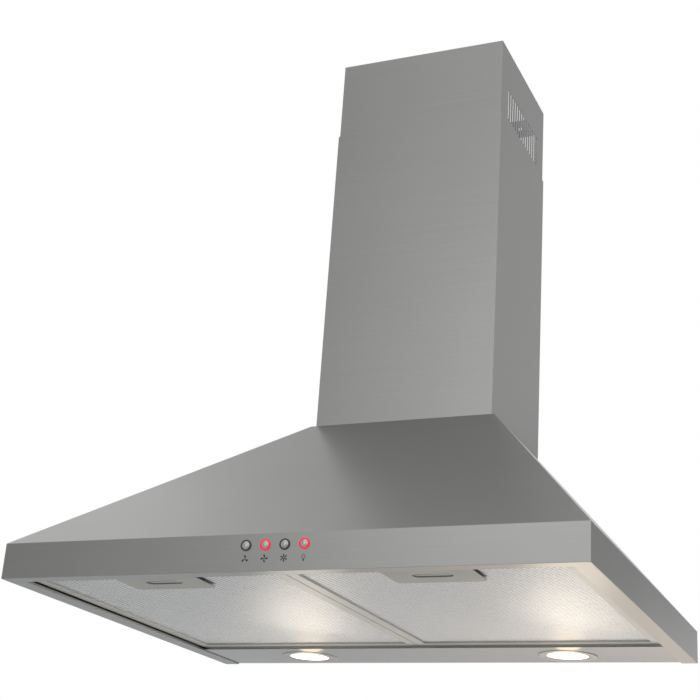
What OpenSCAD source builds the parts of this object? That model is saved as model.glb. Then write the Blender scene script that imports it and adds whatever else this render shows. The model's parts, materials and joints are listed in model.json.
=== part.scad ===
// Wall-hung chimney range hood: pyramid canopy, telescoping chimney, two grease filters.
// Millimetres. X to the right, Y towards the wall, Z up.
// The origin is the centre of the canopy rim's lower edge.

/* [Canopy] */
// Width of the canopy
hood_w = 600; // [560:5:900]
// Depth of the canopy from the front to the wall
hood_d = 490; // [470:5:520]
// Height of the straight rim
rim_h = 36; // [36:1:60]
// Height of the whole canopy
canopy_h = 246; // [240:1:300]
// Thickness of the steel sheet
sheet_t = 0.8; // [0.6:0.1:1.0]
// Width of the lips under the sides
lip_side_w = 18.5; // [16:0.5:24]
// Width of the lip under the front
lip_front_w = 16.5; // [15.5:0.5:20]
// Depth of the lamp panel, from the wall
lamp_panel_d = 97; // [94:1:110]
// Width of the flat ledge round the chimney's foot
ledge_w = 4.5; // [4:0.5:10]

/* [Chimney] */
// Width of the lower chimney cover
chimney_w = 217.6; // [214:0.2:230]
// Depth of the lower chimney cover
chimney_d = 188; // [187:0.5:195]
// Height of the lower chimney cover
lower_h = 393.5; // [380:0.5:500]
// Length of the upper chimney cover
upper_len = 390; // [370:1:392]
// How far the upper cover stands out of the lower one
upper_show = 104; // [103:1:150]
// Gap between the sliding covers
slide_gap = 0.4; // [0.3:0.1:0.6]
// Width of the covers' return flanges at the wall
return_w = 12; // [8:0.5:12]
// Number of vent slots on each side
vent_count = 14; // [6:1:14]
// Length of a vent slot
vent_l = 41; // [20:1:50]
// Width of a vent slot
vent_w = 4; // [3:0.5:5]
// Spacing of the vent slots
vent_pitch = 9.4; // [8:0.1:9.6]

/* [Controls] */
// Spacing of the buttons
button_pitch = 20; // [18:0.5:24]
// Middle of the row of buttons, from the hood's middle
button_mid_x = 2.2; // [-20:0.1:20]
// Height of the buttons above the rim's lower edge
button_z = 25; // [24.5:0.1:25.5]
// Radius of a button's cap
button_r = 3.9; // [3.5:0.1:3.9]
// How far a button stands out of the rim
button_out = 2.2; // [1.8:0.1:3]
// Travel of a button
button_travel = 1.5; // [0.8:0.1:1.5]
// Outer radius of a light ring
ring_r = 5.3; // [5.1:0.1:5.5]

/* [Filters] */
// Thickness of a filter
filter_t = 8.5; // [8:0.1:9.5]
// Height of the filters' underside above the rim's lower edge
filter_z = 4.2; // [3.8:0.1:4.6]
// Width of the filter frame's flanges
filter_flange_w = 10.5; // [9.5:0.5:11.5]
// Thickness of the filter frame's aluminium
filter_sheet_t = 0.6; // [0.5:0.1:0.8]
// Width of the handle plate
handle_w = 89; // [80:1:110]
// Depth of the handle plate
handle_d = 57.5; // [56.5:0.5:60]
// Length of the finger slot
slot_l = 39.5; // [36:0.5:44]
// Width of the finger slot
slot_w = 13; // [12:0.5:14]
// Travel of the latch
latch_travel = 7; // [6:0.5:7]

/* [Lamps] */
// Distance of a lamp from the hood's middle
lamp_x = 161.5; // [120:0.5:180]
// Distance of a lamp from the wall
lamp_back = 45; // [44:0.5:46]
// Outer radius of a lamp's bezel
bezel_r = 34; // [33:0.5:34]
// Radius of the lit opening in the bezel
lens_open_r = 23.5; // [20:0.5:24]

/* [Blower] */
// Outer radius of the duct collar
duct_r = 75; // [70:0.5:75]
// Height of the duct collar above the canopy
duct_h = 46; // [40:1:60]
// How far the impeller's radius is over a quarter of the canopy's height
impeller_over = 6.5; // [0:0.5:6.5]
// Width of the impeller
impeller_w = 100; // [80:1:100]
// Number of impeller blades
blade_count = 30; // [24:1:36]
// Radius of the motor
motor_r = 42; // [35:1:42]
// Largest opening of a non-return flap, degrees
flap_open = 80; // [60:1:80]

/* [Hidden] */
$fn = 72;

// Overrun of every cut, gap of a seated piece, gap between moving faces
cut = 1;
seat_gap = 0.3;
run_gap = 0.4;

// Canopy
front_y = -hood_d / 2;
back_y = hood_d / 2;
chimney_front_y = back_y - chimney_d;
ledge_x = chimney_w / 2 + ledge_w;
ledge_y = chimney_front_y - ledge_w;
slope_h = canopy_h - rim_h;
side_run = hood_w / 2 - ledge_x;
front_run = ledge_y - front_y;
// How far a sloping sheet's inner face lies in from its outer face, measured level
side_in = sheet_t * sqrt(side_run * side_run + slope_h * slope_h) / slope_h;
front_in = sheet_t * sqrt(front_run * front_run + slope_h * slope_h) / slope_h;
open_x = hood_w / 2 - lip_side_w;
open_front_y = front_y + lip_front_w;
hem_h = filter_z;
side_hem_h = 2.5;
top_flange_h = 12;
duct_y = (chimney_front_y + back_y) / 2;
ledge_hole_gap = 9.5;
ledge_hole_r = duct_r + ledge_hole_gap;
screw_r = 2;
screw_head_r = 3.4;
screw_head_h = 2.4;

// Back panel and wall holes
panel_y = back_y - sheet_t;
wall_screw_r = 3;
wall_screw_x = 225;
wall_screw_z = 60;
keyhole_x = 110;
keyhole_z = 170;
keyhole_r = 6;
keyhole_l = 14;

// Lamp panel
lamp_panel_z = 1;
lamp_panel_front_y = back_y - lamp_panel_d;
lamp_panel_flange_h = 30;
lamp_hole_r = 30;
lamp_y = back_y - lamp_back;

// Filters
filter_gap = 0.5;
filter_w = open_x - 2 * filter_gap;
filter_front_gap = 2;
filter_rear_overlap = 12.5;
filter_front_y = open_front_y + filter_front_gap;
filter_rear_y = lamp_panel_front_y + filter_rear_overlap;
filter_x = filter_gap + filter_w / 2;
mesh_recess = 2;
mesh_z = filter_z + mesh_recess;
mesh_t = 0.4;
mesh_layers = 3;
mesh_top_gap = 1.2;
filter_tilt = 35;
// The filter turns on the top edge of the lamp panel's front hem
pivot_z = filter_z - seat_gap;
rear_reach = sqrt(pow(filter_rear_overlap, 2) + pow(filter_t + seat_gap, 2));
rear_angle = atan2(filter_t + seat_gap, filter_rear_overlap);
rail_z = pivot_z + rear_reach * sin(rear_angle + filter_tilt) + seat_gap;
rail_web_gap = 2;
rail_foot_w = 5;
rail_lap = 10.5;

// Handle plate and latch
handle_t = 0.8;
handle_z = filter_z - handle_t;
handle_corner_r = 5;
handle_rear_y = filter_front_y + handle_d;
slot_back = 30.5;
slot_y = filter_front_y + slot_back;
latch_t = 1.4;
latch_z = filter_z + seat_gap;
latch_w = 50;
tongue_w = 40;
tongue_reach = 5;
latch_front_gap = 1.3;
latch_front_y = filter_front_y + filter_flange_w + latch_front_gap;
latch_d = 28.7;
latch_rear_y = latch_front_y + latch_d;
finger_w = 36;
finger_d = 6;
guide_t = 1.6;
guide_h = 1.7;
stop_t = 1.2;
spring_w = 30;
spring_wire = 1;
spring_runs = 5;
stake_r = 1.5;
stake_head_r = 2.5;
stake_head_h = 0.7;
stake_x = 34;

// Chimney
lower_top_z = canopy_h + lower_h;
upper_top_z = lower_top_z + upper_show;
upper_bottom_z = upper_top_z - upper_len;
upper_x = chimney_w / 2 - sheet_t - slide_gap;
upper_front_y = chimney_front_y + sheet_t + slide_gap;
upper_back_y = back_y - sheet_t - slide_gap;
vent_rise = 8.5;
vent_z = lower_top_z + vent_rise;
vent_mid_y = (upper_front_y + upper_back_y) / 2;
tab_w = 12;
tab_d = 18;
tab_back = 14;
tab_y = chimney_front_y + tab_back;
tab_screw_inset = 6.6;

// Ceiling bracket
bracket_t = 1.2;
bracket_h = 26;
bracket_drop = 5.5;
bracket_z = upper_top_z - bracket_drop - bracket_h;
bracket_side_gap = 1.6;
bracket_x = upper_x - return_w - bracket_side_gap;
bracket_step_w = 8;
bracket_hole_inset = 19;
bracket_hole_x = bracket_x - bracket_hole_inset;
bracket_ear_x = upper_x - sheet_t - run_gap;
bracket_screw_inset = 6.6;
bracket_screw_x = upper_x - bracket_screw_inset;

// Buttons, heights measured out of the rim's front face
button_stop_r = 5.2;
button_stop_t = 1.5;
button_edge_h = 1.3;
button_dome_share = 0.55;
stem_r = 1.7;
ring_gap = 0.3;
ring_out = 0.9;
ring_flange_r = 6.5;
ring_flange_t = 1;
ring_hole_gap = 0.1;
housing_t = 2;
housing_wall = 1.5;
housing_h = 20;
housing_x = 44;
pad_w = 4;
plate_back_h = -sheet_t - ring_flange_t - housing_t;
stop_gap = 0.1;
stop_front_h = plate_back_h - stop_gap;
board_t = 1.6;
tact_t = 3.5;
tact_w = 6;
tact_hole_depth = 2.9;
tact_hole_gap = 0.1;
stem_l = 7.6;
tact_front_h = stop_front_h - stem_l;
board_front_h = tact_front_h - tact_t;
board_back_h = board_front_h - board_t;
stem_in_tact = 0.7;
stem_end_h = tact_front_h - stem_in_tact;

// Lamps
bezel_t = 0.8;
bezel_z = lamp_panel_z - bezel_t;
barrel_gap = 0.5;
barrel_r = lamp_hole_r - barrel_gap;
barrel_t = 1.3;
barrel_top_z = 14;
bezel_ear_z = lamp_panel_z + sheet_t + seat_gap;
bezel_ear_t = 1;
bezel_ear_reach = 33.5;
bezel_ear_w = 8;
lens_r = 25;
lens_t = 2.5;
lens_z = lamp_panel_z + seat_gap;
reflector_z = lens_z + lens_t + seat_gap;
reflector_top_z = 24;
reflector_neck_r = 9;
reflector_t = 1;
bulb_r = 5;
bulb_z = 8;
bulb_base_r = 6.5;
bulb_base_z = 18;
can_r = barrel_r - barrel_t - seat_gap;
can_t = 1.5;
can_top_z = 29.5;
bulb_top_z = can_top_z - can_t;

// Blower. The fan's axis runs along X at (fan_y, fan_z).
plate_t = 1;
plate_top_z = canopy_h - sheet_t;
plate_x = 90;
plate_d = 176;
throat_w = 116;
throat_d = 84;
scroll_t = 2;
scroll_w = throat_w + 2 * scroll_t;
impeller_r = canopy_h / 4 + impeller_over;
cutoff_gap = 6.7;
cutoff_r = impeller_r + cutoff_gap;
growth_over = 1.3;
scroll_growth = impeller_r / 2 + growth_over;
scroll_exit_r = cutoff_r + scroll_growth;
fan_y = duct_y + throat_d / 2 - scroll_exit_r;
fan_room = 4;
fan_z = canopy_h - 1.5 * impeller_r - fan_room;
cutoff_angle = acos((scroll_exit_r - throat_d) / cutoff_r);
cutoff_wall_angle = 3;
outer_cutoff_angle = cutoff_angle + cutoff_wall_angle;
scroll_step = 10;
inlet_lap = 12;
inlet_r = impeller_r - inlet_lap;
scroll_flange_x = 68;
scroll_flange_d = 126;
scroll_flange_t = 2;
boss_r = 5.5;
boss_out = 4.1;
boss_l = 14;
boss_angles = [110, 190, 270];
boss_rise = 60;
collar_wall = 2;
collar_flange_w = 8.5;
collar_flange_r = duct_r + collar_flange_w;
collar_flange_t = 2;
collar_screw_out = 4.7;
collar_screw_r = duct_r + collar_screw_out;
collar_screw_angles = [45, 135, 225, 315];
collar_top_z = canopy_h + duct_h;
plate_screw_x = 84;
plate_screw_y = 81;
screw_l = 9;

// Non-return flaps
pin_rise = 16;
pin_z = canopy_h + pin_rise;
pin_r = 1.5;
pin_gap = 0.05;
knuckle_r = 3.2;
knuckle_l = 12;
knuckle_ys = [-52, 28];
flap_t = 2;
flap_drop = 0.3;
flap_gap = 0.7;
flap_r = duct_r - collar_wall - flap_gap;
flap_inner_x = 3.8;
flap_ledge_w = 3.5;
flap_ledge_t = 1.4;
pin_seat = 1.2;

// Impeller, shaft and motor
disc_t = 2;
blade_d = 11;
blade_t = 0.8;
blade_lean = 35;
blade_ring_w = 3;
blade_in_r = impeller_r - blade_d;
shaft_r = 4;
shaft_gap = 0.05;
hub_r = 10;
hub_l = 14;
nut_r = 7;
nut_t = 6;
shaft_left_x = -24;
motor_left_x = 12;
motor_right_x = 62.5;
motor_nose_r = 14;
motor_nose_l = 5;
motor_rib_w = 2;
motor_ribs = 24;
motor_rib_out = 1.5;
arm_t = 2;
arm_w = 12;
arm_angles = [90, 210, 330];
bracket_plate_r = 20;
grommet_r = 5;
grommet_out = 8;
grommet_at_r = inlet_r + grommet_out;
bracket_ring_w = 11.5;
bracket_ring_over = 6;
bracket_ring_out_r = grommet_at_r + bracket_ring_over;
bracket_ring_in_r = bracket_ring_out_r - bracket_ring_w;

// Capacitor, junction box and cable gland
capacitor_x = 140;
capacitor_r = 16;
capacitor_l = 55;
capacitor_z = 80;
clip_t = 1.2;
clip_h = 12;
clip_foot_x = 26;
box_x = -150;
box_w = 56;
box_d = 28;
box_h = 50;
box_z = 80;
box_t = 2;
box_hole_r = 5;
gland_side_inset = 9.8;
gland_x = gland_side_inset - chimney_w / 2;
gland_inset = 13;
gland_bore_r = 3.6;
gland_r = 5.2;
gland_flange_r = 8;
gland_nut_r = 7;
gland_flange_t = 2;
gland_below = 8;

// A block from its lowest corner to its highest corner
module block(low, high) {
    translate(low) cube(high - low);
}

// Cylinders along each axis
module rod_x(r, x1, x2, y, z) {
    translate([x1, y, z]) rotate([0, 90, 0]) cylinder(r = r, h = x2 - x1);
}

module rod_y(r, y1, y2, x, z) {
    translate([x, y2, z]) rotate([90, 0, 0]) cylinder(r = r, h = y2 - y1);
}

module rod_z(r, z1, z2, x, y) {
    translate([x, y, z1]) cylinder(r = r, h = z2 - z1);
}

// An outline in Y and Z drawn out along X, and one in X and Z drawn out along Y
module along_x(x1, x2) {
    translate([x1, 0, 0]) rotate([90, 0, 90]) linear_extrude(x2 - x1) children();
}

module along_y(y1, y2) {
    translate([0, y2, 0]) rotate([90, 0, 0]) linear_extrude(y2 - y1) children();
}

// A turned piece whose profile is [radius, height in front of the rim]
module turned_on_rim(x) {
    translate([x, front_y, button_z]) rotate([90, 0, 0]) rotate_extrude() children();
}

// Half width of the canopy's sloping sides, and the front slope's place, at a height
function side_x(z) = hood_w / 2 - side_run * (z - rim_h) / slope_h;
function slope_y(z) = front_y + front_run * (z - rim_h) / slope_h;

module mirror_x() {
    children();
    mirror([1, 0, 0]) children();
}

// Canopy

module canopy_outside() {
    intersection() {
        along_y(front_y, back_y) polygon([
            [-hood_w / 2, 0], [hood_w / 2, 0], [hood_w / 2, rim_h],
            [ledge_x, canopy_h], [-ledge_x, canopy_h], [-hood_w / 2, rim_h]
        ]);
        along_x(-hood_w / 2, hood_w / 2) polygon([
            [front_y, 0], [back_y, 0], [back_y, canopy_h], [ledge_y, canopy_h], [front_y, rim_h]
        ]);
    }
}

module canopy_inside() {
    top_z = canopy_h - sheet_t;
    knee_side_z = rim_h + (sheet_t - side_in) * slope_h / side_run;
    knee_front_z = rim_h + (sheet_t - front_in) * slope_h / front_run;
    wall_x = hood_w / 2 - sheet_t;
    top_x = side_x(top_z) - side_in;
    intersection() {
        along_y(front_y + sheet_t, back_y - sheet_t) polygon([
            [-wall_x, sheet_t], [wall_x, sheet_t], [wall_x, knee_side_z],
            [top_x, top_z], [-top_x, top_z], [-wall_x, knee_side_z]
        ]);
        along_x(-wall_x, wall_x) polygon([
            [front_y + sheet_t, sheet_t], [back_y - sheet_t, sheet_t], [back_y - sheet_t, top_z],
            [slope_y(top_z) + front_in, top_z], [front_y + sheet_t, knee_front_z]
        ]);
    }
}

// The opening that the return flanges leave in the back
module back_window() {
    window_top_z = canopy_h - top_flange_h;
    window_top_x = side_x(window_top_z) - lip_side_w;
    along_y(back_y - sheet_t - cut, back_y + cut) polygon([
        [-open_x, -cut], [open_x, -cut], [open_x, rim_h],
        [window_top_x, window_top_z], [-window_top_x, window_top_z], [-open_x, rim_h]
    ]);
}

module canopy_body() {
    difference() {
        canopy_outside();
        canopy_inside();
        block([-open_x, open_front_y, -cut], [open_x, back_y + cut, sheet_t + cut]);
        back_window();
        rod_z(ledge_hole_r, canopy_h - sheet_t - cut, canopy_h + cut, 0, duct_y);
        for (i = [0:3])
            rod_y(ring_r + ring_hole_gap, front_y - cut, front_y + sheet_t + cut, button_at(i), button_z);
        for (p = ledge_screw_places())
            rod_z(screw_r, canopy_h - sheet_t - cut, canopy_h + cut, p[0], p[1]);
        rod_z(gland_r, canopy_h - sheet_t - cut, canopy_h + cut, gland_x, back_y - gland_inset);
    }
    block([-open_x - sheet_t, open_front_y - sheet_t, 0], [open_x + sheet_t, open_front_y, hem_h]);
    mirror_x() block([open_x, open_front_y - sheet_t, 0], [open_x + sheet_t, back_y, side_hem_h]);
}

// The canopy is welded from a front sheet, folded back over the top as a ledge, and two side sheets.
// They meet on upright planes just beside the corners, one across the lips and one along the slopes.
lip_joint_in = 0.8;
slope_joint_in = 0.5;
lip_joint_x = hood_w / 2 - lip_joint_in;
slope_joint_x = hood_w / 2 - slope_joint_in;
lip_joint_run = cut * lip_side_w / lip_front_w;
slope_joint_run = cut * side_run / front_run;
open_joint_x = open_x - lip_joint_in;
ledge_joint_x = ledge_x - slope_joint_in;
joint_z = hem_h + cut;

module canopy_front() {
    color("silver") intersection() {
        canopy_body();
        union() {
            translate([0, 0, -cut]) linear_extrude(joint_z + cut) polygon([
                [-lip_joint_x - lip_joint_run, front_y - cut], [lip_joint_x + lip_joint_run, front_y - cut],
                [open_joint_x - lip_joint_run, open_front_y + cut],
                [-open_joint_x + lip_joint_run, open_front_y + cut]
            ]);
            translate([0, 0, joint_z]) linear_extrude(canopy_h) polygon([
                [-slope_joint_x - slope_joint_run, front_y - cut],
                [slope_joint_x + slope_joint_run, front_y - cut],
                [ledge_joint_x, ledge_y], [ledge_joint_x, back_y + cut],
                [-ledge_joint_x, back_y + cut], [-ledge_joint_x, ledge_y]
            ]);
        }
    }
}

module canopy_side() {
    far_x = hood_w / 2 + 2 * cut;
    translate([0, 0, -cut]) linear_extrude(joint_z + cut) polygon([
        [lip_joint_x + lip_joint_run, front_y - cut], [far_x, front_y - cut], [far_x, back_y + cut],
        [open_joint_x - lip_joint_run, back_y + cut], [open_joint_x - lip_joint_run, open_front_y + cut]
    ]);
    translate([0, 0, joint_z]) linear_extrude(canopy_h) polygon([
        [slope_joint_x + slope_joint_run, front_y - cut], [far_x, front_y - cut], [far_x, back_y + cut],
        [ledge_joint_x, back_y + cut], [ledge_joint_x, ledge_y]
    ]);
}

module canopy_left() {
    color("silver") intersection() {
        canopy_body();
        mirror([1, 0, 0]) canopy_side();
    }
}

module canopy_right() {
    color("silver") intersection() {
        canopy_body();
        canopy_side();
    }
}

function plate_screw_places() = [
    for (sx = [-1, 1], sy = [-1, 1]) [sx * plate_screw_x, duct_y + sy * plate_screw_y]
];
function tab_screw_places() = [
    for (sx = [-1, 1]) [sx * (chimney_w / 2 - sheet_t - tab_screw_inset), tab_y + tab_d / 2]
];
function ledge_screw_places() = concat(plate_screw_places(), tab_screw_places());
function collar_screw_places() = [
    for (a = collar_screw_angles) [collar_screw_r * cos(a), duct_y + collar_screw_r * sin(a)]
];

module keyhole(x) {
    rod_y(keyhole_r, panel_y - sheet_t - cut, panel_y + cut, x, keyhole_z);
    rod_y(wall_screw_r, panel_y - sheet_t - cut, panel_y + cut, x, keyhole_z + keyhole_l);
    block([x - wall_screw_r, panel_y - sheet_t - cut, keyhole_z],
        [x + wall_screw_r, panel_y + cut, keyhole_z + keyhole_l]);
}

module back_panel() {
    low_z = side_hem_h + seat_gap;
    top_z = canopy_h - sheet_t - seat_gap;
    low_x = hood_w / 2 - sheet_t - seat_gap;
    knee_z = rim_h - (side_in - sheet_t) * slope_h / side_run;
    top_x = side_x(top_z) - side_in - seat_gap;
    color("gainsboro") difference() {
        along_y(panel_y - sheet_t, panel_y) polygon([
            [-low_x, low_z], [low_x, low_z], [low_x, knee_z],
            [top_x, top_z], [-top_x, top_z], [-low_x, knee_z]
        ]);
        mirror_x() keyhole(keyhole_x);
        mirror_x() rod_y(wall_screw_r, panel_y - sheet_t - cut, panel_y + cut, wall_screw_x, wall_screw_z);
    }
}

module lamp_panel() {
    x = open_x - seat_gap;
    rear_y = panel_y - sheet_t;
    color("silver") difference() {
        union() {
            block([-x, lamp_panel_front_y, lamp_panel_z], [x, rear_y, lamp_panel_z + sheet_t]);
            block([-x, lamp_panel_front_y, lamp_panel_z], [x, lamp_panel_front_y + sheet_t, pivot_z]);
            block([-x, rear_y - sheet_t, lamp_panel_z], [x, rear_y, lamp_panel_flange_h]);
            mirror_x() block([x - sheet_t, lamp_panel_front_y, lamp_panel_z], [x, rear_y, side_hem_h]);
        }
        mirror_x() rod_z(lamp_hole_r, -cut, lamp_panel_z + sheet_t + cut, lamp_x, lamp_y);
    }
}

// The rail's top flange stops the filters' rear edges when their fronts are down
module filter_rail() {
    x = open_x - 2 * seat_gap - sheet_t;
    web_y = filter_rear_y + rail_web_gap;
    foot_z = lamp_panel_z + sheet_t;
    color("gainsboro") {
        block([-x, web_y, foot_z], [x, web_y + sheet_t, rail_z + sheet_t]);
        block([-x, filter_rear_y - rail_lap, rail_z], [x, web_y + sheet_t, rail_z + sheet_t]);
        block([-x, web_y, foot_z], [x, web_y + rail_foot_w, foot_z + sheet_t]);
    }
}

// Chimney covers

// A cover folded from sheet: front, two sides and a return flange on each at the wall
module cover_outline(half_w, y1, y2) {
    difference() {
        translate([-half_w, y1]) square([2 * half_w, y2 - y1]);
        translate([-half_w + sheet_t, y1 + sheet_t]) square([2 * (half_w - sheet_t), y2 - y1 - 2 * sheet_t]);
        translate([-half_w + return_w, y2 - sheet_t - cut])
            square([2 * (half_w - return_w), sheet_t + 2 * cut]);
    }
}

module chimney_lower() {
    tab_x = chimney_w / 2 - sheet_t;
    color("silver") difference() {
        union() {
            translate([0, 0, canopy_h]) linear_extrude(lower_h)
                cover_outline(chimney_w / 2, chimney_front_y, back_y);
            mirror_x() block([tab_x - tab_w, tab_y, canopy_h],
                [tab_x + sheet_t / 2, tab_y + tab_d, canopy_h + sheet_t]);
        }
        for (p = tab_screw_places()) rod_z(screw_r, canopy_h - cut, canopy_h + sheet_t + cut, p[0], p[1]);
    }
}

module screw_down(p, head_z) {
    rod_z(screw_head_r, head_z, head_z + screw_head_h, p[0], p[1]);
    rod_z(screw_r, head_z - screw_l, head_z, p[0], p[1]);
}

module chimney_upper() {
    color("silver") difference() {
        translate([0, 0, upper_bottom_z]) linear_extrude(upper_len)
            cover_outline(upper_x, upper_front_y, upper_back_y);
        for (i = [0:vent_count - 1]) {
            y = vent_mid_y + (i - (vent_count - 1) / 2) * vent_pitch;
            block([-upper_x - cut, y - vent_w / 2, vent_z], [upper_x + cut, y + vent_w / 2, vent_z + vent_l]);
        }
        mirror_x() rod_y(screw_r, upper_back_y - sheet_t - cut, upper_back_y + cut,
            bracket_screw_x, bracket_z + bracket_h / 2);
    }
}

// Its plate lies on the wall and its ears reach behind the upper cover's return flanges
module ceiling_bracket() {
    ear_y = upper_back_y - sheet_t;
    mid_z = bracket_z + bracket_h / 2;
    color("gainsboro") difference() {
        union() {
            block([-bracket_x, back_y - bracket_t, bracket_z], [bracket_x, back_y, bracket_z + bracket_h]);
            mirror_x() {
                block([bracket_x - bracket_step_w, ear_y - bracket_t, bracket_z],
                    [bracket_x, back_y, bracket_z + bracket_h]);
                block([bracket_x - bracket_step_w, ear_y - bracket_t, bracket_z],
                    [bracket_ear_x, ear_y, bracket_z + bracket_h]);
            }
        }
        mirror_x() rod_y(wall_screw_r, back_y - bracket_t - cut, back_y + cut, bracket_hole_x, mid_z);
        mirror_x() rod_y(screw_r, ear_y - bracket_t - cut, ear_y + cut, bracket_screw_x, mid_z);
    }
}

module bracket_screws() {
    ear_y = upper_back_y - sheet_t - bracket_t;
    mid_z = bracket_z + bracket_h / 2;
    color("dimgray") mirror_x() {
        rod_y(screw_head_r, ear_y - screw_head_h, ear_y, bracket_screw_x, mid_z);
        rod_y(screw_r, ear_y, upper_back_y, bracket_screw_x, mid_z);
    }
}

// Controls

function button_at(i) = button_mid_x + (i - 1.5) * button_pitch;

module switch_housing() {
    low_z = button_z - housing_h / 2;
    high_z = button_z + housing_h / 2;
    x1 = button_mid_x - housing_x;
    x2 = button_mid_x + housing_x;
    front = front_y + sheet_t + ring_flange_t;
    back = front_y - board_back_h;
    color("dimgray") difference() {
        union() {
            difference() {
                block([x1, front, low_z], [x2, back, high_z]);
                block([x1 + housing_wall, front + housing_t, low_z + housing_wall],
                    [x2 - housing_wall, back + cut, high_z - housing_wall]);
            }
            for (x = [x1, x2 - pad_w]) {
                block([x, front_y + sheet_t, low_z], [x + pad_w, front + housing_t, high_z]);
                block([x, front, low_z], [x + pad_w, front_y - board_front_h, high_z]);
            }
        }
        for (i = [0:3])
            rod_y(button_r + ring_gap, front - cut, front + housing_t + cut, button_at(i), button_z);
    }
}

module control_board() {
    x = housing_x - housing_wall - seat_gap;
    z = housing_h / 2 - housing_wall - seat_gap;
    color("darkgreen") block([button_mid_x - x, front_y - board_front_h, button_z - z],
        [button_mid_x + x, front_y - board_back_h, button_z + z]);
}

module tact_switches() {
    color("black") for (i = [0:3]) difference() {
        block([button_at(i) - tact_w / 2, front_y - tact_front_h, button_z - tact_w / 2],
            [button_at(i) + tact_w / 2, front_y - board_front_h, button_z + tact_w / 2]);
        rod_y(stem_r + tact_hole_gap, front_y - tact_front_h - cut, front_y - tact_front_h + tact_hole_depth,
            button_at(i), button_z);
    }
}

module light_ring(i) {
    in_r = button_r + ring_gap;
    color(i % 2 == 1 ? "red" : "gray") turned_on_rim(button_at(i)) polygon([
        [in_r, -sheet_t - ring_flange_t], [ring_flange_r, -sheet_t - ring_flange_t],
        [ring_flange_r, -sheet_t], [ring_r, -sheet_t], [ring_r, ring_out], [in_r, ring_out]
    ]);
}

// The cap's face is a shallow dome inside a chamfer
module button(i) {
    face_r = button_r * button_dome_share;
    dome_low_h = button_out - button_edge_h / 2;
    color("lightgray") turned_on_rim(button_at(i)) polygon(concat(
        [
            [0, stem_end_h], [stem_r, stem_end_h], [stem_r, stop_front_h - button_stop_t],
            [button_stop_r, stop_front_h - button_stop_t], [button_stop_r, stop_front_h],
            [button_r, stop_front_h], [button_r, button_out - button_edge_h]
        ],
        [
            for (a = [0:15:90]) [
                face_r * cos(a) + (button_r - face_r) * (1 - a / 90) * button_dome_share,
                dome_low_h + (button_out - dome_low_h) * sin(a)
            ]
        ]
    ));
}

// Lamps

module at_lamp(side) {
    translate([side * lamp_x, lamp_y, 0]) children();
}

module lamp_bezel(side) {
    color("silver") at_lamp(side) {
        rotate_extrude() polygon([
            [lens_open_r, bezel_z], [bezel_r, bezel_z], [bezel_r, bezel_z + bezel_t],
            [barrel_r, bezel_z + bezel_t], [barrel_r, barrel_top_z], [barrel_r - barrel_t, barrel_top_z],
            [barrel_r - barrel_t, bezel_z + bezel_t], [lens_open_r, bezel_z + bezel_t]
        ]);
        mirror_x() block([barrel_r - barrel_t / 2, -bezel_ear_w / 2, bezel_ear_z],
            [bezel_ear_reach, bezel_ear_w / 2, bezel_ear_z + bezel_ear_t]);
    }
}

module lamp_lens(side) {
    color("white") at_lamp(side) rod_z(lens_r, lens_z, lens_z + lens_t, 0, 0);
}

module lamp_reflector(side) {
    color("whitesmoke") at_lamp(side) rotate_extrude() polygon([
        [lens_r - reflector_t, reflector_z], [lens_r, reflector_z],
        [reflector_neck_r, reflector_top_z], [reflector_neck_r - reflector_t, reflector_top_z]
    ]);
}

module lamp_bulb(side) {
    color("lightyellow") at_lamp(side) {
        rod_z(bulb_r, bulb_z + bulb_r, bulb_base_z, 0, 0);
        translate([0, 0, bulb_z + bulb_r]) sphere(r = bulb_r);
        rod_z(bulb_base_r, bulb_base_z, bulb_top_z, 0, 0);
    }
}

// The can closes the lamp from above and holds the bulb's base
module lamp_housing(side) {
    color("gainsboro") at_lamp(side) difference() {
        rod_z(can_r, reflector_z, can_top_z, 0, 0);
        rod_z(can_r - can_t, reflector_z - cut, can_top_z - can_t, 0, 0);
    }
}

// Filters

module at_filter(side) {
    translate([side * filter_x, 0, 0]) children();
}

module filter_frame(side) {
    x = filter_w / 2;
    top_z = filter_z + filter_t;
    notch_x = tongue_w / 2 + run_gap;
    // The lower flange's inner edge is folded up to the mesh
    wall_in = filter_flange_w - filter_sheet_t;
    // The rear flange also spans what lies over the lamp panel
    rear_y = filter_rear_y - filter_rear_overlap - filter_flange_w;
    color("lightgray") at_filter(side) difference() {
        block([-x, filter_front_y, filter_z], [x, filter_rear_y, top_z]);
        difference() {
            block([-x + filter_sheet_t, filter_front_y + filter_sheet_t, filter_z + filter_sheet_t],
                [x - filter_sheet_t, filter_rear_y - filter_sheet_t, top_z - filter_sheet_t]);
            block([-x + wall_in, filter_front_y + wall_in, filter_z],
                [x - wall_in, rear_y + filter_sheet_t, mesh_z]);
        }
        block([-x + filter_flange_w, filter_front_y + filter_flange_w, filter_z - cut],
            [x - filter_flange_w, rear_y, top_z + cut]);
        block([-notch_x, filter_front_y - cut, filter_z - cut],
            [notch_x, filter_front_y + filter_flange_w + cut, latch_z + latch_t + seat_gap]);
        mirror_x() rod_z(stake_r, filter_z - cut, filter_z + filter_sheet_t + cut,
            stake_x, filter_front_y + filter_flange_w / 2);
    }
}

module filter_mesh(side) {
    x = filter_w / 2 - filter_sheet_t - seat_gap;
    inset = filter_sheet_t + seat_gap;
    pitch = (filter_t - (mesh_z - filter_z) - mesh_top_gap) / (mesh_layers - 1);
    color("white") at_filter(side) for (i = [0:mesh_layers - 1])
        block([-x, filter_front_y + inset, mesh_z + i * pitch],
            [x, filter_rear_y - inset, mesh_z + i * pitch + mesh_t]);
}

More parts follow.
